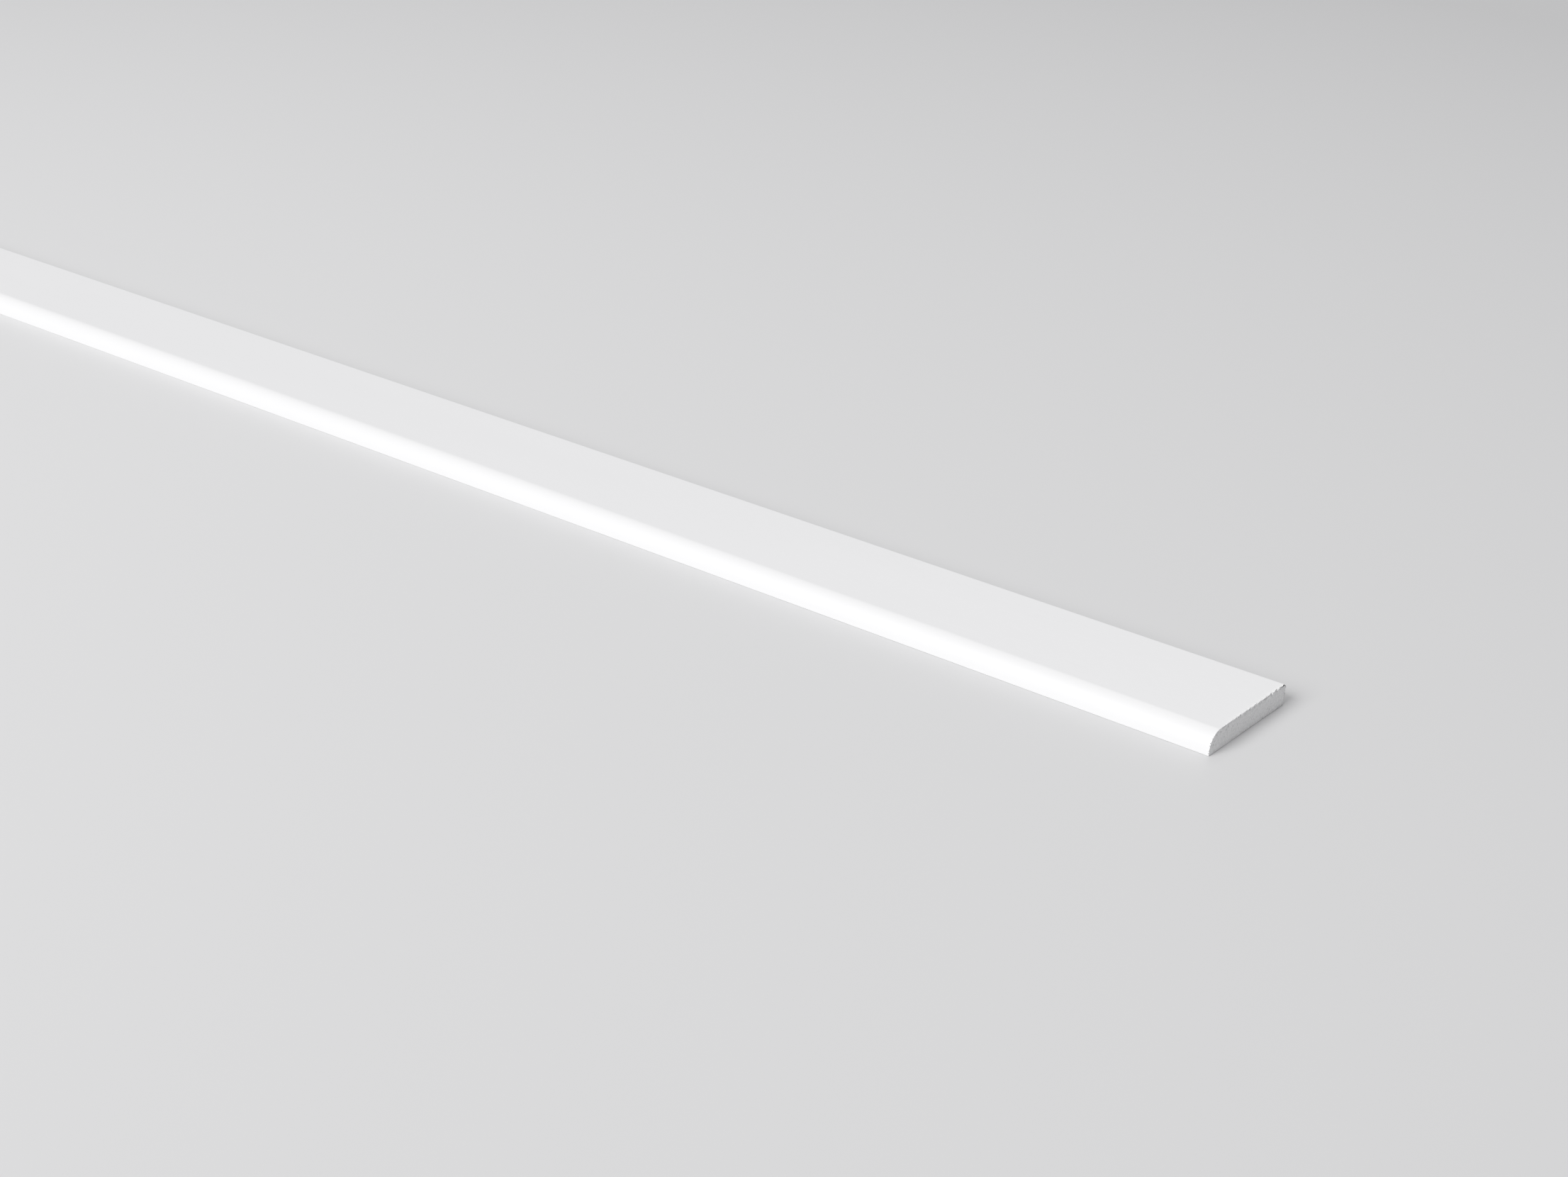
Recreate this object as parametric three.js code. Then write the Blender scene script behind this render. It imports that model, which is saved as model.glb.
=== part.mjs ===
// A cut length of white cellular PVC edge trim: a thin flat strip with one rounded long edge
// and one square long edge, sawn off square at both ends.
// Units are millimetres. X runs along the strip, Y runs across it from the rounded edge to the
// square edge, and Z is up. The origin is the middle of the flat underside.

import * as THREE from "three";
import { mergeVertices, toCreasedNormals } from "three/addons/utils/BufferGeometryUtils.js";

// Driving dimensions of the section and the cut length
const LENGTH = 620;
const WIDTH = 40;
const THICKNESS = 6;
const NOSE_RADIUS = 4.8;
const ARRIS_RADIUS = 1;
const OUTLINE_STEP = 0.42;
const LEAST_ARC_STEPS = 8;

// The saw tears the hard skin around each cut, one ragged bite after another. Depth goes into
// the strip's length, and drop goes from the skin into the sawn face
const BITE_RUN = [1.4, 3.1];
const BITE_DEPTH = [0.18, 0.48];
const BITE_DROP = [0.12, 0.32];
const BITE_PEAK = 0.25;
const BITE_SHOULDER = { along: 0.6, share: 0.45 };
const BITE_FLOOR = { depth: 0.6, drop: 0.7 };
const CLEAN_RUN = 15;
const CLEAN_SHARE = 0.22;
const FOOT_MARGIN = 0.3;
const LEAST_TEAR = 0.03;

// Larger breaks, by the distance of their middle from the foot of the back edge
const CORNER_BREAK = { fromBackFoot: 6.6, run: 2.3, depth: 0.62, drop: 0.5 };
const LOW_CHIP = { fromBackFoot: 1.15, run: 1.7, depth: 0.75, drop: 0.5 };
const SMALL_CHIP = { fromBackFoot: 2.35, run: 0.9, depth: 0.5, drop: 0.35 };
const SHOWN_END = { side: 1, seed: 41, breaks: [CORNER_BREAK, LOW_CHIP, SMALL_CHIP] };
const OTHER_END = { side: -1, seed: 97, breaks: [CORNER_BREAK] };

// Finish
const SKIN_COLOUR = 0xf1f1f2;
const SKIN_ROUGHNESS = 0.32;
const CREASE_ANGLE = Math.PI / 6;

const FRONT = -WIDTH / 2;
const BACK = WIDTH / 2;

// A repeatable sequence of numbers between 0 and 1, so that the torn edge never changes
function sequence(seed) {
  const MULTIPLIER = 16807;
  const MODULUS = 2147483647;
  let state = seed;
  return () => {
    state = (state * MULTIPLIER) % MODULUS;
    return state / MODULUS;
  };
}

function between(range, share) {
  return THREE.MathUtils.lerp(range[0], range[1], share);
}

// The section above its flat underside, in (Y, Z): front edge, nose, top, eased corner, back edge
function upperCurves() {
  const nose = new THREE.Vector2(FRONT + NOSE_RADIUS, THICKNESS - NOSE_RADIUS);
  const arris = new THREE.Vector2(BACK - ARRIS_RADIUS, THICKNESS - ARRIS_RADIUS);
  const line = (y0, z0, y1, z1) =>
    new THREE.LineCurve(new THREE.Vector2(y0, z0), new THREE.Vector2(y1, z1));
  const arc = (centre, radius, from, to) =>
    new THREE.EllipseCurve(centre.x, centre.y, radius, radius, from, to, true);
  return [
    line(FRONT, 0, FRONT, nose.y),
    arc(nose, NOSE_RADIUS, Math.PI, Math.PI / 2),
    line(nose.x, THICKNESS, arris.x, THICKNESS),
    arc(arris, ARRIS_RADIUS, Math.PI / 2, 0),
    line(BACK, arris.y, BACK, 0),
  ];
}

// Points along those curves, each with the direction facing out of the section and its distance
// from the foot of the front edge
function upperOutline() {
  const points = [];
  let before = 0;
  for (const curve of upperCurves()) {
    const length = curve.getLength();
    const leastSteps = curve.isEllipseCurve ? LEAST_ARC_STEPS : 1;
    const steps = Math.max(Math.ceil(length / OUTLINE_STEP), leastSteps);
    for (let i = 0; i < steps; i += 1) {
      const tangent = curve.getTangent(i / steps);
      points.push({
        place: curve.getPoint(i / steps),
        out: new THREE.Vector2(-tangent.y, tangent.x),
        distance: before + (length * i) / steps,
      });
    }
    before += length;
  }
  const foot = new THREE.Vector2(BACK, 0);
  points.push({ place: foot, out: new THREE.Vector2(1, 0), distance: before });
  return points;
}

// A bite is sharp on one side and trails off on the other
function biteShape(along) {
  if (along < 0 || along > 1) return 0;
  if (along < BITE_PEAK) return along / BITE_PEAK;
  const { along: shoulder, share } = BITE_SHOULDER;
  if (along < shoulder) {
    return THREE.MathUtils.mapLinear(along, BITE_PEAK, shoulder, 1, share);
  }
  return THREE.MathUtils.mapLinear(along, shoulder, 1, share, 0);
}

// A break is round
function breakShape(along) {
  return Math.sqrt(Math.max(0, 1 - (2 * along - 1) ** 2));
}

// Every mark on one cut. The nose and the start of the top are torn less
function marksOn(end, outlineLength) {
  const next = sequence(end.seed);
  const marks = end.breaks.map(({ fromBackFoot, run, depth, drop }) => ({
    start: outlineLength - fromBackFoot - run / 2,
    run,
    depth,
    drop,
    shape: breakShape,
  }));
  let start = FOOT_MARGIN;
  while (start < outlineLength) {
    const share = start < CLEAN_RUN ? CLEAN_SHARE : 1;
    const run = between(BITE_RUN, next());
    const depth = between(BITE_DEPTH, next()) * share;
    const drop = between(BITE_DROP, next()) * share;
    marks.push({ start, run, depth, drop, shape: biteShape });
    start += run;
  }
  return marks;
}

// How far the skin is torn back at one point of the outline: nothing at the two feet
function tearAt(distance, marks, outlineLength) {
  const tear = { depth: 0, drop: 0 };
  const inFromFoot = Math.min(distance, outlineLength - distance);
  if (inFromFoot < FOOT_MARGIN) return tear;
  for (const mark of marks) {
    const share = mark.shape((distance - mark.start) / mark.run);
    tear.depth = Math.max(tear.depth, mark.depth * share);
    tear.drop = Math.max(tear.drop, mark.drop * share);
  }
  const tooSmall = Math.min(tear.depth, tear.drop) < LEAST_TEAR;
  return tooSmall ? { depth: 0, drop: 0 } : tear;
}

// The three rings of points that make one cut: rim of the sawn face, floor of the bites, and
// where the whole skin begins
function cutRings(end, outline) {
  const outlineLength = outline.at(-1).distance;
  const marks = marksOn(end, outlineLength);
  const x = (end.side * LENGTH) / 2;
  const rings = { rim: [], floor: [], skin: [] };
  for (const { place, out, distance } of outline) {
    const { depth, drop } = tearAt(distance, marks, outlineLength);
    const point = (depthShare, dropShare) =>
      new THREE.Vector3(
        x - end.side * depth * depthShare,
        place.x - out.x * drop * dropShare,
        place.y - out.y * drop * dropShare,
      );
    rings.rim.push(point(0, 1));
    rings.floor.push(point(BITE_FLOOR.depth, BITE_FLOOR.drop));
    rings.skin.push(point(1, 0));
  }
  return rings;
}

// The triangles of a flat sawn face inside its rim, facing away from the middle of the strip
function sawnFace(end, rim) {
  const flat = rim.map(({ y, z }) => new THREE.Vector2(y, z));
  return THREE.ShapeUtils.triangulateShape(flat, []).map((corners) => {
    const face = corners.map((corner) => rim[corner]);
    return end.side > 0 ? face : face.reverse();
  });
}

// The triangles between two rings of points, of which the first is nearer the shown end
function band(near, far) {
  const triangles = [];
  for (let i = 0; i + 1 < near.length; i += 1) {
    triangles.push([near[i], near[i + 1], far[i]], [near[i + 1], far[i + 1], far[i]]);
  }
  return triangles;
}

// The closed surface: two cuts, with the skin and the flat underside running between them
function stripGeometry() {
  const outline = upperOutline();
  const shown = cutRings(SHOWN_END, outline);
  const other = cutRings(OTHER_END, outline);
  const feet = (ring) => [ring.at(-1), ring[0]];
  const triangles = [
    ...sawnFace(SHOWN_END, shown.rim),
    ...band(shown.rim, shown.floor),
    ...band(shown.floor, shown.skin),
    ...band(shown.skin, other.skin),
    ...band(feet(shown.skin), feet(other.skin)),
    ...band(other.skin, other.floor),
    ...band(other.floor, other.rim),
    ...sawnFace(OTHER_END, other.rim),
  ];
  const geometry = new THREE.BufferGeometry().setFromPoints(triangles.flat());
  return toCreasedNormals(withoutEmptyFaces(mergeVertices(geometry)), CREASE_ANGLE);
}

// Where nothing is torn the rings meet, so the faces between them have no area and are left out
function withoutEmptyFaces(geometry) {
  const corners = geometry.index.array;
  const kept = [];
  for (let i = 0; i < corners.length; i += 3) {
    const [a, b, c] = corners.slice(i, i + 3);
    if (a !== b && b !== c && c !== a) kept.push(a, b, c);
  }
  return geometry.setIndex(kept);
}

const trimStrip = new THREE.Mesh(
  stripGeometry(),
  new THREE.MeshStandardMaterial({
    color: SKIN_COLOUR,
    roughness: SKIN_ROUGHNESS,
    metalness: 0,
  }),
);
trimStrip.name = "trim_strip";

const part = new THREE.Group();
part.add(trimStrip);

export default part;
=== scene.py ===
import math
from collections import namedtuple

import bpy
import numpy as np
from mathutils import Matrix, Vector, noise


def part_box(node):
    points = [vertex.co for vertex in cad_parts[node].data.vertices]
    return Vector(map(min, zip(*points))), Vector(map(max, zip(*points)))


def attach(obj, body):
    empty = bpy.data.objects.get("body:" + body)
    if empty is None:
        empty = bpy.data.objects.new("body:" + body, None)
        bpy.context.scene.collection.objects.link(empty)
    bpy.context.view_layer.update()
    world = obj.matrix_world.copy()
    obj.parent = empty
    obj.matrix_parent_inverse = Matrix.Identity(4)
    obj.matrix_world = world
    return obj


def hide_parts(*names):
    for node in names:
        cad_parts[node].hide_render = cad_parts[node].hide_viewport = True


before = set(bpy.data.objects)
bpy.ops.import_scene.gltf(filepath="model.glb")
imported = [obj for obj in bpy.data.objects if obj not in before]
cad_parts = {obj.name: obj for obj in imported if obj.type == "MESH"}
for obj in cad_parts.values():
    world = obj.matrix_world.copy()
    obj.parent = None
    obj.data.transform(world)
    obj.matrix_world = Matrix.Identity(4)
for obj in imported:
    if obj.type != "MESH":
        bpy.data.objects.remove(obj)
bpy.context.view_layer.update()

# A white cellular PVC edge trim strip that lies on a pale floor. Sizes are in metres. X runs along
# the strip, Y runs across it from the rounded edge to the square edge, and Z is up.
MM = 0.001
LOW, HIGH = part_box("trim_strip")
FRONT = LOW.y
BACK = HIGH.y
UNDERSIDE = LOW.z
TOP = HIGH.z
NOSE_RADIUS = 4.8 * MM
ARRIS_RADIUS = 1 * MM
FOOT_RADIUS = 0.12 * MM

# Each sawn face is a grid of small cells. Its torn rim pushes the points up to so many steps in
GRID_STEP = 0.12 * MM
ROWS = 42
RIM_REACH = 16

# Rings of points carry the skin from one cut to the other, and stand close together near a cut
NEAREST_RING = 0.1 * MM
RING_GROWTH = 1.6
CLOSE_RINGS_END = 16 * MM
FAR_RING_STEP = 45 * MM
SHARP_ANGLE = 40

# The saw tears the hard skin around each cut, one ragged bite after another. Depth goes into
# the strip's length, and drop goes from the skin into the sawn face
BITE_RUN = (1.4 * MM, 3.1 * MM)
BITE_DEPTH = (0.2 * MM, 0.55 * MM)
BITE_DROP = (0.3 * MM, 0.85 * MM)
BITE_SHOULDER = {"along": 0.4, "share": 0.45}
BITE_PEAK = 0.8
# Bites are painted darker in their hollows, as shade, by this share
BITE_PAINTED_SHADE = 0.3
# How strong the bites are by distance from the foot of the front edge: weak up to the start of
# the top and on the back edge
BITE_PLACES = (12 * MM, 15 * MM, 43 * MM, 44.5 * MM)
BITE_SHARES = (0.15, 1, 1, 0.35)
FOOT_MARGIN = 0.3 * MM
# The close rings follow the torn edge of the skin, less and less over about this distance
TEAR_FADE = 1.3 * MM
# Between the rim of the sawn face and the whole skin, as shares of depth and drop
TORN_SLOPE = ((0.3, 0.85), (0.6, 0.62), (0.85, 0.33))

# Sharp nicks cut into the bites
NICK_RUN = (0.24 * MM, 0.65 * MM)
NICK_GAP = (0.15 * MM, 0.9 * MM)
NICK_DEPTH = (0.08 * MM, 0.48 * MM)
NICK_DROP = (0.05 * MM, 0.3 * MM)
NICK_PEAK = 0.65
# Nicks are painted darker in their hollows, as shade, by this share
NICK_PAINTED_SHADE = 0.35
# How strong the nicks are in the same way: weak where the nose turns into the top
NICK_PLACES = (3.5 * MM, 5.5 * MM, 11 * MM, 13 * MM, 43 * MM, 44.5 * MM)
NICK_SHARES = (1.2, 0.3, 0.3, 1, 1, 0.6)

# Chips run along the lower edge of the cut, after a clean stretch at its front
LOWER_RUN = (0.5 * MM, 1.9 * MM)
LOWER_DEPTH = (0.03 * MM, 0.34 * MM)
LOWER_DROP = (0.02 * MM, 0.13 * MM)
LOWER_OVERHANG = 0.55
LOWER_CLEAN_RUN = 12 * MM

# The skin is torn back at least this far all round
LEAST_DEPTH = 0.04 * MM
LEAST_DROP = 0.03 * MM
# The skin is whitened where a tear of this depth has lifted it, and less further from the cut
LIFTED_DEPTH = 0.12 * MM
LIFTED_FADE = 0.45 * MM

# Here and there the skin overhangs a groove in the foam, painted dark as shade. Each stretch is given
# by its two ends, as distances along the rim from the foot of the front edge, and by its strength
SHOWN_OVERHANGS = (
    (9.4 * MM, 12.1 * MM, 0.5),
    (12.6 * MM, 13.7 * MM, 0.6),
    (17.6 * MM, 18.9 * MM, 0.35),
    (24.6 * MM, 25.4 * MM, 0.4),
    (31.6 * MM, 34.8 * MM, 0.65),
    (38.0 * MM, 39.4 * MM, 0.7),
    (40.6 * MM, 44.8 * MM, 0.8),
    (44.6 * MM, 49.2 * MM, 0.65),
    (47.1 * MM, 47.9 * MM, 1),
    (48.3 * MM, 49.2 * MM, 0.9),
)
OTHER_OVERHANGS = (
    (10.2 * MM, 14.9 * MM, 0.5),
    (22.3 * MM, 26.1 * MM, 0.6),
    (40.6 * MM, 44.8 * MM, 0.55),
    (44.6 * MM, 49.2 * MM, 0.65),
)
OVERHANG_EASE = 0.35 * MM
# Elsewhere it overhangs a little where there are nicks. All grooves come and go along the rim
COMMON_OVERHANG = 0.35
OVERHANG_WAVER = 0.6 * MM
OVERHANG_EVENNESS = 0.2
OVERHANG_DEPTH = 0.5 * MM
# How dark the painted shade in the grooves is
OVERHANG_PAINTED_SHADE = 0.58
# By steps of the grid in from the rim
OVERHANG_PROFILE = (0.4, 1, 0.9, 0.4, 0.1)

# Larger breaks, by the distance of their middle from the foot of the back edge
Break = namedtuple("Break", "from_back_foot run depth drop")
CORNER_BREAK = Break(6.6 * MM, run=3.2 * MM, depth=0.12 * MM, drop=0.35 * MM)
LOW_CHIP = Break(1.15 * MM, run=1.7 * MM, depth=0.75 * MM, drop=0.5 * MM)
SMALL_CHIP = Break(2.35 * MM, run=0.9 * MM, depth=0.5 * MM, drop=0.35 * MM)

End = namedtuple("End", "side seed breaks overhangs")
SHOWN_END = End(
    side=1,
    seed=41,
    breaks=(CORNER_BREAK, LOW_CHIP, SMALL_CHIP),
    overhangs=SHOWN_OVERHANGS,
)
OTHER_END = End(side=-1, seed=97, breaks=(CORNER_BREAK,), overhangs=OTHER_OVERHANGS)

# Each kind of mark on an end has its own sequence of numbers
KINDS = ("bites", "nicks", "chips", "pores")
MULTIPLIER = 16807
MODULUS = 2147483647


def numbers_for(kind, end):
    """Repeatable numbers between 0 and 1 for one kind of mark on one end."""
    state = end.seed + KINDS.index(kind)
    while True:
        state = state * MULTIPLIER % MODULUS
        yield state / MODULUS


def between(limits, share):
    """The number that lies at one share of the way between two limits."""
    low, high = limits
    return low + (high - low) * share


def bite_shape(along):
    """A bite deepens slowly and ends sharply."""
    places = (0, BITE_SHOULDER["along"], BITE_PEAK, 1)
    shares = (0, BITE_SHOULDER["share"], 1, 0)
    return np.interp(along, places, shares, left=0, right=0)


def nick_shape(along):
    """A nick is a notch with a pointed bottom."""
    return np.interp(along, (0, NICK_PEAK, 1), (0, 1, 0), left=0, right=0)


def break_shape(along):
    """A break is round."""
    return np.sqrt(np.maximum(0, 1 - (2 * along - 1) ** 2))


# A mark starts at a distance along the rim, and its shape says how it deepens along its run
Mark = namedtuple("Mark", "start run depth drop shape")


def bites_between(numbers, start, stop, run, depth, drop):
    """Bites one after another from one distance to another."""
    bites = []
    while start < stop:
        share = np.interp(start, BITE_PLACES, BITE_SHARES)
        bite_run = between(run, next(numbers))
        bite_depth = between(depth, next(numbers)) * share
        bite_drop = between(drop, next(numbers)) * share
        bites.append(Mark(start, bite_run, bite_depth, bite_drop, bite_shape))
        start += bite_run
    return bites


def nicks_between(numbers, start, stop):
    """Nicks with gaps between them, from one distance to another."""
    nicks = []
    while start < stop:
        share = np.interp(start, NICK_PLACES, NICK_SHARES)
        start += between(NICK_GAP, next(numbers))
        run = between(NICK_RUN, next(numbers))
        size = next(numbers)
        depth = between(NICK_DEPTH, size) * share
        drop = between(NICK_DROP, size) * share
        nicks.append(Mark(start, run, depth, drop, nick_shape))
        start += run
    return nicks


def breaks_on(end, back_foot):
    """The larger breaks on one end, where the back foot is at this distance along the rim."""
    return [
        Mark(back_foot - from_back_foot - run / 2, run, depth, drop, break_shape)
        for from_back_foot, run, depth, drop in end.breaks
    ]


def tear(distance, marks):
    """How far the marks tear the skin back at each distance: depth and drop."""
    depth = np.zeros_like(distance)
    drop = np.zeros_like(distance)
    for mark in marks:
        share = mark.shape((distance - mark.start) / mark.run)
        depth = np.maximum(depth, mark.depth * share)
        drop = np.maximum(drop, mark.drop * share)
    return depth, drop


def line(start, end, steps, out):
    """Points and outward directions along a straight stretch, without its last point."""
    share = np.linspace(0, 1, steps, endpoint=False)[:, None]
    points = np.array(start) * (1 - share) + np.array(end) * share
    return points, np.tile(np.array(out, float), (steps, 1))


def arc(centre, radius, start, end, steps):
    """Points and outward directions along a round stretch, without its last point."""
    turn = np.linspace(start, end, steps, endpoint=False)
    out = np.stack([np.cos(turn), np.sin(turn)], axis=1)
    return np.array(centre) + radius * out, out


def shared_steps(steps, first, second):
    """Steps shared out between two lengths."""
    first_steps = round(steps * first / (first + second))
    return first_steps, steps - first_steps


def upper_outline():
    """Points and outward directions from the front foot to the back foot, without the last, and
    the number of columns. The corners of the grid are halfway round the nose and the arris."""
    nose = (FRONT + NOSE_RADIUS, TOP - NOSE_RADIUS)
    arris = (BACK - ARRIS_RADIUS, TOP - ARRIS_RADIUS)
    to_front = math.pi
    to_top = math.pi / 2
    to_back = 0
    halfway = math.pi / 4
    half_nose = NOSE_RADIUS * halfway
    half_arris = ARRIS_RADIUS * halfway
    front_steps, low_nose_steps = shared_steps(ROWS, nose[1] - UNDERSIDE, half_nose)
    back_steps, low_arris_steps = shared_steps(ROWS, arris[1] - UNDERSIDE, half_arris)
    high_nose_steps = round(half_nose / GRID_STEP)
    high_arris_steps = round(half_arris / GRID_STEP)
    top_steps = round((arris[0] - nose[0]) / GRID_STEP)
    stretches = [
        line((FRONT, UNDERSIDE), (FRONT, nose[1]), front_steps, out=(-1, 0)),
        arc(nose, NOSE_RADIUS, to_front, to_front - halfway, low_nose_steps),
        arc(nose, NOSE_RADIUS, to_top + halfway, to_top, high_nose_steps),
        line((nose[0], TOP), (arris[0], TOP), top_steps, out=(0, 1)),
        arc(arris, ARRIS_RADIUS, to_top, to_top - halfway, high_arris_steps),
        arc(arris, ARRIS_RADIUS, to_back + halfway, to_back, low_arris_steps),
        line((BACK, arris[1]), (BACK, UNDERSIDE), back_steps, out=(1, 0)),
    ]
    points, out = zip(*stretches)
    columns = high_nose_steps + top_steps + high_arris_steps
    return np.concatenate(points), np.concatenate(out), columns


class Section:
    """The strip's section as one ring of points: up the front edge, round the nose, over the top,
    down the back edge, and back along the underside."""

    def __init__(self):
        upper, upper_out, self.columns = upper_outline()
        lower_y = np.linspace(BACK, FRONT, self.columns, endpoint=False)
        lower = np.stack([lower_y, np.full(self.columns, UNDERSIDE)], axis=1)
        lower_out = np.tile((0.0, -1.0), (self.columns, 1))
        self.points = np.concatenate([upper, lower])
        self.out = np.concatenate([upper_out, lower_out])
        self.upper = slice(0, len(upper))
        self.lower = slice(len(upper) + 1, None)
        steps = np.linalg.norm(np.diff(self.points, axis=0), axis=1)
        self.distance = np.concatenate([[0], np.cumsum(steps)])
        self.back_foot = self.distance[len(upper)]
        self.ease_foot(FRONT, -1)
        self.ease_foot(BACK, 1)

    def ease_foot(self, foot, side):
        """Rounds one sharp lower corner, half of it by its upright points, half by its level ones."""
        across = np.abs(self.points[:, 0] - foot) / FOOT_RADIUS
        up = (self.points[:, 1] - UNDERSIDE) / FOOT_RADIUS
        turn = np.where(across < up, (1 - up) / 2, (1 + across) / 2) * math.pi / 2
        near = np.maximum(across, up) < 1
        out = np.stack([side * np.cos(turn), -np.sin(turn)], axis=1)
        centre = np.array((foot - side * FOOT_RADIUS, UNDERSIDE + FOOT_RADIUS))
        self.out[near] = out[near]
        self.points[near] = centre + FOOT_RADIUS * out[near]

    def tear_at(self, end):
        """Depth, drop and painted shade of the torn skin round one cut, point by point."""
        breaks = breaks_on(end, self.back_foot)
        numbers = numbers_for("bites", end)
        bites = bites_between(
            numbers, FOOT_MARGIN, self.back_foot, BITE_RUN, BITE_DEPTH, BITE_DROP
        )
        nicks = nicks_between(numbers_for("nicks", end), FOOT_MARGIN, self.back_foot)
        depth, drop = tear(self.distance, breaks + bites)
        nick_depth, nick_drop = tear(self.distance, nicks)
        depth += nick_depth
        drop += nick_drop
        whole = np.minimum(self.distance, self.back_foot - self.distance) < FOOT_MARGIN
        depth[whole] = 0
        drop[whole] = 0
        depth[self.lower], drop[self.lower] = self.chips_at(end)
        # The breaks, nicks and bites are painted darker as shade in their hollows
        broken = tear(self.distance, breaks)[1] / CORNER_BREAK.drop
        nicked = nick_depth / max(NICK_DEPTH) * NICK_PAINTED_SHADE
        bitten = depth / max(BITE_DEPTH) * BITE_PAINTED_SHADE
        painted_shade = np.clip(np.maximum(np.maximum(broken, nicked), bitten), 0, 1)
        # Along the lower edge the chips are painted dark as shade
        painted_shade[self.lower] = drop[self.lower] / max(LOWER_DROP)
        return np.maximum(depth, LEAST_DEPTH), np.maximum(drop, LEAST_DROP), painted_shade

    def chips_at(self, end):
        """Depth and drop of the chips along the lower edge of one cut, point by point."""
        numbers = numbers_for("chips", end)
        chips = bites_between(
            numbers, LOWER_CLEAN_RUN, BACK - FRONT, LOWER_RUN, LOWER_DEPTH, LOWER_DROP
        )
        return tear(self.points[self.lower, 0] - FRONT, chips)

    def overhang_at(self, end, drop):
        """How strongly the skin overhangs round one cut, point by point."""
        distance = self.distance[self.upper]
        upper = np.interp(distance, NICK_PLACES, NICK_SHARES) * COMMON_OVERHANG
        for start, stop, most in end.overhangs:
            inside = np.minimum(distance - start, stop - distance)
            upper = np.maximum(upper, most * np.clip(inside / OVERHANG_EASE, 0, 1))
        strength = np.zeros_like(self.distance)
        strength[self.upper] = upper
        strength[self.lower] = np.clip(drop[self.lower] / max(LOWER_DROP), 0, 1) * LOWER_OVERHANG
        uneven = [noise.noise((place / OVERHANG_WAVER, end.seed, 0)) for place in self.distance]
        return strength * np.clip(OVERHANG_EVENNESS + strength + np.array(uneven), 0, 1)


# Relief of the sawn foam, as depths below the plane of the cut. The grain is noise in layers, each
# finer than the one before, and the two ends lie apart in it
GRAIN_SIZE = 0.65 * MM
GRAIN_DEPTH = 0.08 * MM
GRAIN_SMOOTHNESS = 0.7
GRAIN_REFINEMENT = 2.1
GRAIN_LAYERS = 4
GRAIN_APART = 10 * MM
PIT_SIZE = 0.8 * MM
PIT_DEPTH = 0.14 * MM
PIT_EDGE = 0.32
# The teeth of the saw leave shallow arcs round its centre
SAW_RADIUS = 125 * MM
SAW_CENTRE = (-40 * MM, -112 * MM)
SAW_PITCH = 0.85 * MM
SAW_DEPTH = 0.012 * MM
# Burst bubbles, by place across and up and by radius
BUBBLES = (
    (5.0 * MM, 3.5 * MM, 0.85 * MM),
    (13.9 * MM, 3.0 * MM, 0.95 * MM),
    (-4.9 * MM, 1.4 * MM, 0.5 * MM),
    (-9.0 * MM, 3.8 * MM, 0.45 * MM),
)
BUBBLE_DEPTH = 0.09 * MM
BUBBLE_HOLLOW = 0.7
BUBBLE_LIP = 0.45
BUBBLE_LIP_WIDTH = 0.3
# Open pores scattered over the foam, painted darker inside as shade
PORE_COUNT = 22
PORE_RADIUS = (0.16 * MM, 0.4 * MM)
PORE_MARGIN = 0.5 * MM
PORE_DEPTH = 0.35 * MM
PORE_PAINTED_SHADE = 0.6


def relief(y, z, side):
    """Depth of the sawn foam below the plane of the cut at one place."""
    place = Vector((y, z, side * GRAIN_APART))
    grain = noise.fractal(place / GRAIN_SIZE, GRAIN_SMOOTHNESS, GRAIN_REFINEMENT, GRAIN_LAYERS)
    nearest = noise.voronoi(place / PIT_SIZE)[0][0]
    pit = max(0, 1 - nearest / PIT_EDGE)
    from_saw_centre = math.hypot(y - SAW_CENTRE[0], z - SAW_CENTRE[1])
    saw = math.sin((from_saw_centre - SAW_RADIUS) / SAW_PITCH * math.tau)
    depth = GRAIN_DEPTH * (1 + grain) / 2 + PIT_DEPTH * pit + SAW_DEPTH * (1 + saw)
    for across, up, radius in BUBBLES:
        away = math.hypot(y * side - across, z - up) / radius
        hollow = max(0, 1 - away)
        lip = max(0, 1 - abs(away - 1) / BUBBLE_LIP_WIDTH)
        depth += BUBBLE_DEPTH * (BUBBLE_HOLLOW * hollow - BUBBLE_LIP * lip)
    return max(0, depth)


def pores(points, end):
    """How deep each point is in one of the open pores, from 0 to 1. Small pores are commoner."""
    numbers = numbers_for("pores", end)
    share = np.zeros(len(points))
    for _ in range(PORE_COUNT):
        across = between((FRONT + PORE_MARGIN, BACK - PORE_MARGIN), next(numbers))
        up = between((UNDERSIDE + PORE_MARGIN, TOP - PORE_MARGIN), next(numbers))
        radius = between(PORE_RADIUS, next(numbers) ** 2)
        away = np.hypot(points[:, 0] - across, points[:, 1] - up) / radius
        share = np.maximum(share, 1 - away)
    return share


def spread(ring, columns, across, up):
    """Values on a ring, spread over the grid inside it. The two shares in across say how far the
    front and the back side reach into the columns, and those in up do so for the rows."""
    front = ring[:ROWS + 1]
    top = ring[ROWS:ROWS + columns + 1]
    back = ring[ROWS + columns:2 * ROWS + columns + 1][::-1]
    under = np.concatenate([ring[2 * ROWS + columns:], ring[:1]])[::-1]
    from_front, from_back = (share[:, None, None] for share in across)
    from_under, from_top = (share[None, :, None] for share in up)
    level_sides = from_under * under[:, None] + from_top * top[:, None]
    all_sides = level_sides + from_front * front + from_back * back
    front_corners = from_under * under[0] + from_top * top[0]
    back_corners = from_under * under[-1] + from_top * top[-1]
    return all_sides - from_front * front_corners - from_back * back_corners


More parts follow.
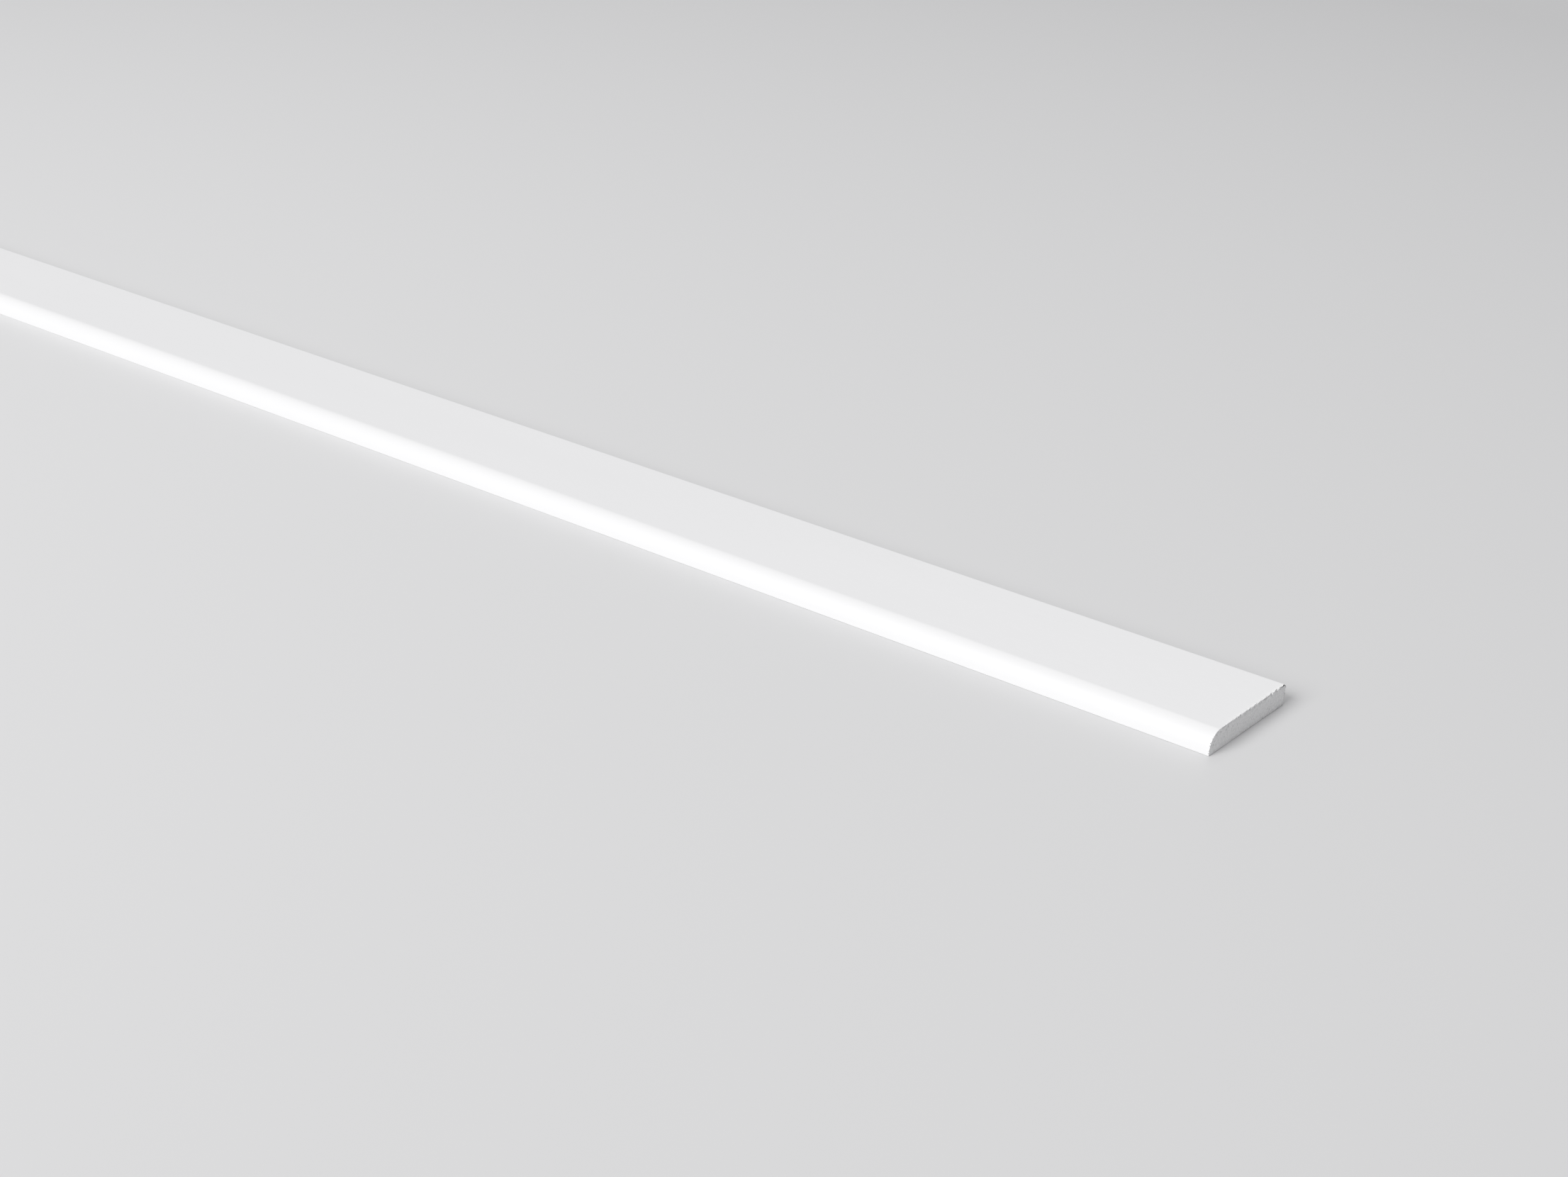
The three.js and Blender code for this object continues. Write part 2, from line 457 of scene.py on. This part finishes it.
def sawn_grid(section, drop):
    """Points of a sawn face, as columns from front to back of rows going up. The torn rim pushes
    only the nearest points inwards."""
    columns = section.columns
    across = np.linspace(0, 1, columns + 1)
    up = np.linspace(0, 1, ROWS + 1)
    whole = spread(section.points, columns, (1 - across, across), (1 - up, up))
    near_front = np.maximum(0, 1 - np.arange(columns + 1) / RIM_REACH)
    near_under = np.maximum(0, 1 - np.arange(ROWS + 1) / RIM_REACH)
    pushed = spread(
        -section.out * drop[:, None],
        columns,
        (near_front, near_front[::-1]),
        (near_under, near_under[::-1]),
    )
    return (whole + pushed).reshape(-1, 2)


def grid_numbers(columns):
    """Numbers of a sawn face's points, as columns of rows."""
    return np.arange((columns + 1) * (ROWS + 1)).reshape(columns + 1, ROWS + 1)


def rim_numbers(columns):
    """Numbers of a sawn face's border points, in the order of the section's ring."""
    grid = grid_numbers(columns)
    return np.concatenate([grid[0, :-1], grid[:-1, -1], grid[-1, :0:-1], grid[:0:-1, 0]])


def overhang_grid(strength, columns):
    """Grooves under the overhanging skin, point by point of the grid, from their strength round
    the rim."""
    rim = np.zeros((columns + 1, ROWS + 1))
    rim.ravel()[rim_numbers(columns)] = strength
    groove = np.zeros_like(rim)
    for step, share in enumerate(OVERHANG_PROFILE):
        groove[step] = np.maximum(groove[step], rim[0] * share)
        groove[-1 - step] = np.maximum(groove[-1 - step], rim[-1] * share)
        groove[:, step] = np.maximum(groove[:, step], rim[:, 0] * share)
        groove[:, -1 - step] = np.maximum(groove[:, -1 - step], rim[:, -1] * share)
    return groove.ravel()


def grid_faces(columns, side):
    """Four-cornered faces of a sawn face, turned to face out of the strip."""
    grid = grid_numbers(columns)
    corners = [grid[:-1, :-1], grid[1:, :-1], grid[1:, 1:], grid[:-1, 1:]]
    faces = np.stack([corner.ravel() for corner in corners], axis=1)
    return faces if side > 0 else faces[:, ::-1]


def band_faces(near, far):
    """Four-cornered faces between two rings of points."""
    return np.stack([near, np.roll(near, -1), np.roll(far, -1), far], axis=1)


class Surface:
    """Points and four-cornered faces, gathered group by group, with what each point and face
    shows."""

    def __init__(self):
        self.points = []
        self.lifted = []
        self.painted_shade = []
        self.faces = []
        self.foam = []
        self.count = 0

    def add_points(self, x, places, lifted=0.0, painted_shade=0.0):
        """Adds points by their x and their places in the section. Returns their numbers."""
        size = len(places)
        self.points.append(np.column_stack([np.broadcast_to(x, size), places]))
        self.lifted.append(np.broadcast_to(lifted, size))
        self.painted_shade.append(np.broadcast_to(painted_shade, size))
        self.count += size
        return np.arange(self.count - size, self.count)

    def add_faces(self, faces, is_foam):
        """Adds faces by the numbers of their corners."""
        self.faces.append(faces)
        self.foam.append(np.full(len(faces), is_foam))

    def add_bands(self, rings, side, foam_bands=0):
        """Adds the faces between rings that run inwards from one side. The first bands are foam."""
        for number, (near, far) in enumerate(zip(rings, rings[1:])):
            band = band_faces(near, far) if side > 0 else band_faces(far, near)
            self.add_faces(band, number < foam_bands)

    def to_mesh(self, name):
        """The surface as a mesh, smooth apart from its sharp edges."""
        mesh = bpy.data.meshes.new(name)
        points = np.concatenate(self.points).tolist()
        faces = np.concatenate(self.faces).tolist()
        mesh.from_pydata(points, [], faces)
        foam = np.concatenate(self.foam).astype(np.int32)
        mesh.polygons.foreach_set("material_index", foam)
        for label, values in (("lifted", self.lifted), ("painted_shade", self.painted_shade)):
            attribute = mesh.attributes.new(label, "FLOAT", "POINT")
            attribute.data.foreach_set("value", np.concatenate(values).astype(np.float32))
        mesh.shade_smooth()
        mesh.set_sharp_from_angle(angle=math.radians(SHARP_ANGLE))
        return mesh


def add_sawn_face(surface, section, end, plane, drop):
    """One sawn face. Returns the numbers of its rim's points and how deep they are sunk."""
    grid = sawn_grid(section, drop)
    groove = overhang_grid(section.overhang_at(end, drop), section.columns)
    pore = pores(grid, end)
    sunk = np.array([relief(y, z, end.side) for y, z in grid])
    sunk += OVERHANG_DEPTH * groove + PORE_DEPTH * pore
    # Painted shade darkens the grooves under the skin and the open pores
    painted_shade = np.maximum(OVERHANG_PAINTED_SHADE * groove, PORE_PAINTED_SHADE * pore)
    numbers = surface.add_points(plane - end.side * sunk, grid, painted_shade=painted_shade)
    surface.add_faces(numbers[0] + grid_faces(section.columns, end.side), True)
    rim = rim_numbers(section.columns)
    return numbers[rim], sunk[rim]


def skin_offsets():
    """Distances of the close rings from the torn edge of the skin, which is the first of them."""
    count = math.log(CLOSE_RINGS_END / NEAREST_RING, RING_GROWTH)
    return [0, *(NEAREST_RING * RING_GROWTH ** np.arange(count))]


def add_cut(surface, section, end):
    """One sawn face, its torn rim, and the rings of skin close to it. Returns the last ring."""
    plane = HIGH.x if end.side > 0 else LOW.x
    depth, drop, painted_shade = section.tear_at(end)
    rim, sunk = add_sawn_face(surface, section, end, plane, drop)
    rings = [rim]
    for depth_share, drop_share in TORN_SLOPE:
        x = plane - end.side * (depth * depth_share + sunk * (1 - depth_share))
        places = section.points - section.out * (drop * drop_share)[:, None]
        rings.append(surface.add_points(x, places, painted_shade=painted_shade))
    foam_bands = len(rings)
    lifted = np.minimum(1, (depth - LEAST_DEPTH) / LIFTED_DEPTH)
    for offset in skin_offsets():
        x = plane - end.side * (offset + depth * math.exp(-offset / TEAR_FADE))
        whitened = lifted * math.exp(-offset / LIFTED_FADE)
        rings.append(surface.add_points(x, section.points, lifted=whitened))
    surface.add_bands(rings, end.side, foam_bands)
    return rings[-1]


def add_middle(surface, section, shown_ring, other_ring):
    """The skin between the close rings of the two cuts."""
    count = round((HIGH.x - LOW.x) / FAR_RING_STEP)
    stops = np.linspace(HIGH.x - CLOSE_RINGS_END, LOW.x + CLOSE_RINGS_END, count)[1:-1]
    middle_rings = [surface.add_points(x, section.points) for x in stops]
    surface.add_bands([shown_ring, *middle_rings, other_ring], SHOWN_END.side)


def strip_mesh():
    """The whole strip as one closed mesh, with how lifted each point is and how much shade is painted
    on it.
    """
    section = Section()
    surface = Surface()
    shown_ring = add_cut(surface, section, SHOWN_END)
    other_ring = add_cut(surface, section, OTHER_END)
    add_middle(surface, section, shown_ring, other_ring)
    return surface.to_mesh("edge_trim")


# Finish. A scale says how many features a texture has to the metre, in all directions or in each
PLASTIC_IOR = 1.5
LIFTED_COLOUR = (1, 1, 1, 1)
# Painted shade: the torn rim's hollows, grooves and pores are mixed towards this dark colour
PAINTED_SHADE_COLOUR = (0.1, 0.1, 0.1, 1)

SKIN_DARK = (0.825, 0.825, 0.835, 1)
SKIN_LIGHT = (0.855, 0.855, 0.865, 1)
SKIN_ROUGHNESS = (0.28, 0.38)
CLOUD_SCALE = (9, 60, 60)
CLOUD_DETAIL = 3.0
STREAK_SCALE = (4, 1400, 1400)
STREAK_BUMP = {"distance": 0.012 * MM, "strength": 1.0}
PEEL_SCALE = 420.0
PEEL_BUMP = {"distance": 0.035 * MM, "strength": 0.8}
FLAKE_SCALE = 1500.0
FLAKE_RANGE = (0.3, 0.7)
FLAKE_BUMP = {"distance": 0.15 * MM, "strength": 1.0}

# The foam is painted darker in the hollows of its cells, as shade
FOAM_HOLLOW_SHADE = (0.7, 0.7, 0.705, 1)
FOAM_LIGHT = (0.84, 0.84, 0.845, 1)
FOAM_ROUGHNESS = 0.9
FOAM_CELL_SCALE = 4200.0
FOAM_CELL_RANGE = (0.15, 0.7)
FOAM_CELL_BUMP = {"distance": 0.08 * MM, "strength": 0.7}
PATCH_COLOUR = (0.55, 0.55, 0.555, 1)
PATCH_SCALE = 1300.0
PATCH_DETAIL = 4.0
PATCH_RANGE = (0.45, 0.7)
PATCH_STRENGTH = (0.0, 0.5)
PATCH_BUMP = {"distance": 0.2 * MM, "strength": 0.6}

# Blender's mix node has several sockets of the same name, and these are the ones for colours
MIX_FIRST_COLOUR = 6
MIX_SECOND_COLOUR = 7
MIX_MIXED_COLOUR = 2


class Nodes:
    """Short ways to build one material's nodes."""

    def __init__(self, name):
        self.material = bpy.data.materials.new(name)
        self.material.use_nodes = True
        self.tree = self.material.node_tree
        self.shader = self.tree.nodes["Principled BSDF"]
        self.place = self.add("ShaderNodeTexCoord").outputs["Object"]

    def add(self, kind, settings=None, **inputs):
        """A node with its settings, and its inputs set to values or joined to other outputs."""
        node = self.tree.nodes.new(kind)
        for key, value in (settings or {}).items():
            setattr(node, key, value)
        for key, value in inputs.items():
            self.join(value, node.inputs[key.replace("_", " ")])
        return node

    def join(self, value, socket):
        """Sets an input to a value, or joins it to another node's output."""
        if isinstance(value, bpy.types.NodeSocket):
            self.tree.links.new(value, socket)
        else:
            socket.default_value = value

    def attribute(self, name):
        """One of the mesh's values, point by point."""
        return self.add("ShaderNodeAttribute", {"attribute_name": name}).outputs["Fac"]

    def stretched(self, scale):
        """The place on the object, with each direction at its own scale."""
        return self.add("ShaderNodeMapping", Vector=self.place, Scale=scale).outputs["Vector"]

    def distance(self, first, second):
        """How far apart two places are."""
        node = self.add("ShaderNodeVectorMath", {"operation": "DISTANCE"})
        self.join(first, node.inputs[0])
        self.join(second, node.inputs[1])
        return node.outputs["Value"]

    def noise(self, place, scale=1.0, detail=2.0):
        """Soft noise between 0 and 1."""
        node = self.add("ShaderNodeTexNoise", Vector=place, Scale=scale, Detail=detail)
        return node.outputs["Fac"]

    def ranged(self, value, old=(0.0, 1.0), new=(0.0, 1.0)):
        """The value turned from its old range to a new one."""
        ends = {"From_Min": old[0], "From_Max": old[1], "To_Min": new[0], "To_Max": new[1]}
        return self.add("ShaderNodeMapRange", Value=value, **ends).outputs["Result"]

    def mixed(self, share, first, second):
        """A mix of two colours."""
        node = self.add("ShaderNodeMix", {"data_type": "RGBA"})
        self.join(share, node.inputs["Factor"])
        self.join(first, node.inputs[MIX_FIRST_COLOUR])
        self.join(second, node.inputs[MIX_SECOND_COLOUR])
        return node.outputs[MIX_MIXED_COLOUR]

    def bumped(self, height, distance, strength, before=None):
        """The surface's direction with a bump on it, on top of the one before."""
        node = self.add("ShaderNodeBump", Height=height, Distance=distance, Strength=strength)
        if before:
            self.join(before, node.inputs["Normal"])
        return node.outputs["Normal"]

    def marked(self, tone):
        """A colour with what the saw has whitened and the painted shade on top of it."""
        torn = self.mixed(self.attribute("lifted"), tone, LIFTED_COLOUR)
        return self.mixed(self.attribute("painted_shade"), torn, PAINTED_SHADE_COLOUR)


def skin_material():
    """Extruded skin: satin-gloss white, with faint die lines and a slight orange peel."""
    nodes = Nodes("white_skin")
    shader = nodes.shader
    shader.inputs["IOR"].default_value = PLASTIC_IOR
    clouds = nodes.noise(nodes.stretched(CLOUD_SCALE), detail=CLOUD_DETAIL)
    streaks = nodes.noise(nodes.stretched(STREAK_SCALE))
    peel = nodes.noise(nodes.place, PEEL_SCALE)
    flakes = nodes.ranged(
        nodes.noise(nodes.place, FLAKE_SCALE), old=FLAKE_RANGE, new=(0.0, nodes.attribute("lifted"))
    )
    tone = nodes.mixed(clouds, SKIN_DARK, SKIN_LIGHT)
    normal = nodes.bumped(streaks, **STREAK_BUMP)
    normal = nodes.bumped(peel, **PEEL_BUMP, before=normal)
    normal = nodes.bumped(flakes, **FLAKE_BUMP, before=normal)
    nodes.join(nodes.marked(tone), shader.inputs["Base Color"])
    nodes.join(nodes.ranged(streaks, new=SKIN_ROUGHNESS), shader.inputs["Roughness"])
    nodes.join(normal, shader.inputs["Normal"])
    return nodes.material


def foam_material():
    """Sawn foam core: matte, with fine open cells painted darker in their hollows as shade."""
    nodes = Nodes("foam_core")
    shader = nodes.shader
    shader.inputs["Roughness"].default_value = FOAM_ROUGHNESS
    cell_node = nodes.add("ShaderNodeTexVoronoi", Vector=nodes.place, Scale=FOAM_CELL_SCALE)
    cells = cell_node.outputs["Distance"]
    patches = nodes.noise(nodes.place, PATCH_SCALE, PATCH_DETAIL)
    # Painted shade in the hollows of the cells
    tone = nodes.mixed(nodes.ranged(cells, old=FOAM_CELL_RANGE), FOAM_HOLLOW_SHADE, FOAM_LIGHT)
    patch_share = nodes.ranged(patches, old=PATCH_RANGE, new=PATCH_STRENGTH)
    mottled = nodes.mixed(patch_share, tone, PATCH_COLOUR)
    normal = nodes.bumped(patches, **PATCH_BUMP)
    normal = nodes.bumped(cells, **FOAM_CELL_BUMP, before=normal)
    nodes.join(nodes.marked(mottled), shader.inputs["Base Color"])
    nodes.join(normal, shader.inputs["Normal"])
    return nodes.material


def make_strip():
    """The strip, in the place of its solid. Its skin is material 0 and its foam material 1."""
    strip = bpy.data.objects.new("edge_trim", strip_mesh())
    bpy.context.scene.collection.objects.link(strip)
    strip.data.materials.append(skin_material())
    strip.data.materials.append(foam_material())
    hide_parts("trim_strip")
    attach(strip, "root")


# Floor. A pool of light is painted on it: it is palest in front of the strip and darkens away from
# there. Far off it fades into the horizon by glowing with the horizon's colour, as painted light
FLOOR_SIZE = 24
FLOOR_GAP = 0.1 * MM
FLOOR_NEAR_COLOUR = (0.72, 0.72, 0.725, 1)
FLOOR_FAR_COLOUR = (0.44, 0.44, 0.445, 1)
FLOOR_ROUGHNESS = 0.5
FLOOR_SHINE = 0.3
FLOOR_MIDDLE = (-0.35, -0.6, 0)
FLOOR_PAINTED_FALLOFF = (0.4, 1.7)
FLOOR_FADE = (1.6, 5)

# Room and lights
SKY_COLOUR = (0.34, 0.34, 0.345, 1)
HORIZON_COLOUR = (0.48, 0.48, 0.485, 1)
HORIZON_HEIGHT = 0.3
KEY_LIGHT = {"place": (-0.2, -1.1, 0.71), "angle": 34, "strength": 3.2}
FRONT_LIGHT = {"place": (-0.5, -0.8, 1.3), "target": (-0.5, -0.6, 0), "size": 0.8, "power": 4}
BACK_LIGHT = {"place": (-0.6, 2.2, 2.4), "target": (-0.5, 1.8, 0), "size": 1.8, "power": 14}

# Camera and exposure
CAMERA_PLACE = (0.546713, -0.502201, 0.273778)
CAMERA_TURN = (66.1072, -2.2882, 38.7889)
CAMERA_LENS = 54.16
CAMERA_SENSOR = 36
CAMERA_NEAR_LIMIT = 0.01
WHITE_LEVEL = 1.3
SHOULDER = 0.75
COMBINED_CURVE = 3


def make_floor():
    """A pale floor that fades into the horizon."""
    half = FLOOR_SIZE / 2
    height = UNDERSIDE - FLOOR_GAP
    outline = ((-half, -half), (half, -half), (half, half), (-half, half))
    mesh = bpy.data.meshes.new("floor")
    mesh.from_pydata([(x, y, height) for x, y in outline], [], [(0, 1, 2, 3)])
    floor = bpy.data.objects.new("floor", mesh)
    bpy.context.scene.collection.objects.link(floor)
    mesh.materials.append(floor_material())


def floor_material():
    """Pale and matte near the strip, with a painted pool of light that darkens away from it, and
    glowing like the horizon far from it.
    """
    nodes = Nodes("pale_floor")
    nodes.shader.inputs["Roughness"].default_value = FLOOR_ROUGHNESS
    nodes.shader.inputs["Specular IOR Level"].default_value = FLOOR_SHINE
    away = nodes.distance(nodes.place, FLOOR_MIDDLE)
    # Painted fall-off of light away from the middle of the pool
    painted_falloff = nodes.ranged(away, old=FLOOR_PAINTED_FALLOFF)
    tone = nodes.mixed(painted_falloff, FLOOR_NEAR_COLOUR, FLOOR_FAR_COLOUR)
    nodes.join(tone, nodes.shader.inputs["Base Color"])
    # Painted light: far off, the floor glows with the horizon's colour
    horizon = nodes.add("ShaderNodeEmission", Color=HORIZON_COLOUR)
    blend = nodes.add("ShaderNodeMixShader", Fac=nodes.ranged(away, old=FLOOR_FADE))
    nodes.join(nodes.shader.outputs["BSDF"], blend.inputs[1])
    nodes.join(horizon.outputs["Emission"], blend.inputs[2])
    nodes.join(blend.outputs["Shader"], nodes.tree.nodes["Material Output"].inputs["Surface"])
    return nodes.material


def make_world():
    """A pale room, lighter at the horizon than above."""
    world = bpy.data.worlds.new("studio")
    bpy.context.scene.world = world
    world.use_nodes = True
    tree = world.node_tree
    direction = tree.nodes.new("ShaderNodeTexCoord").outputs["Generated"]
    split = tree.nodes.new("ShaderNodeSeparateXYZ")
    ramp = tree.nodes.new("ShaderNodeValToRGB")
    horizon, sky = ramp.color_ramp.elements
    horizon.color = HORIZON_COLOUR
    sky.color = SKY_COLOUR
    sky.position = HORIZON_HEIGHT
    tree.links.new(direction, split.inputs["Vector"])
    tree.links.new(split.outputs["Z"], ramp.inputs["Fac"])
    tree.links.new(ramp.outputs["Color"], tree.nodes["Background"].inputs["Color"])


def aimed(direction):
    """The turn that points a light along a direction."""
    return direction.to_track_quat("-Z", "Y").to_euler()


def make_softbox(name, place, target, size, power):
    """A square light that shines on one place and isn't seen itself."""
    light = bpy.data.lights.new(name, "AREA")
    light.shape = "SQUARE"
    light.size = size
    light.energy = power
    softbox = bpy.data.objects.new(name, light)
    softbox.location = place
    softbox.rotation_euler = aimed(Vector(target) - Vector(place))
    softbox.visible_camera = False
    bpy.context.scene.collection.objects.link(softbox)


def make_soft_sun(name, place, angle, strength):
    """A broad distant light that shines from one side on everything alike."""
    light = bpy.data.lights.new(name, "SUN")
    light.angle = math.radians(angle)
    light.energy = strength
    sun = bpy.data.objects.new(name, light)
    sun.location = place
    sun.rotation_euler = aimed(-Vector(place))
    bpy.context.scene.collection.objects.link(sun)


def make_camera():
    """The camera of the photo."""
    camera = bpy.data.objects.new("camera", bpy.data.cameras.new("camera"))
    camera.location = CAMERA_PLACE
    camera.rotation_euler = [math.radians(turn) for turn in CAMERA_TURN]
    camera.data.lens = CAMERA_LENS
    camera.data.sensor_width = CAMERA_SENSOR
    camera.data.clip_start = CAMERA_NEAR_LIMIT
    bpy.context.scene.collection.objects.link(camera)
    bpy.context.scene.camera = camera


def set_exposure():
    """Plain tones, with a soft shoulder where they near white."""
    view = bpy.context.scene.view_settings
    view.view_transform = "Standard"
    view.use_curve_mapping = True
    view.curve_mapping.white_level = (WHITE_LEVEL, WHITE_LEVEL, WHITE_LEVEL)
    view.curve_mapping.curves[COMBINED_CURVE].points.new(SHOULDER / WHITE_LEVEL, SHOULDER)
    view.curve_mapping.update()


make_strip()
make_floor()
make_world()
make_soft_sun("key_light", **KEY_LIGHT)
make_softbox("front_light", **FRONT_LIGHT)
make_softbox("back_light", **BACK_LIGHT)
make_camera()
set_exposure()
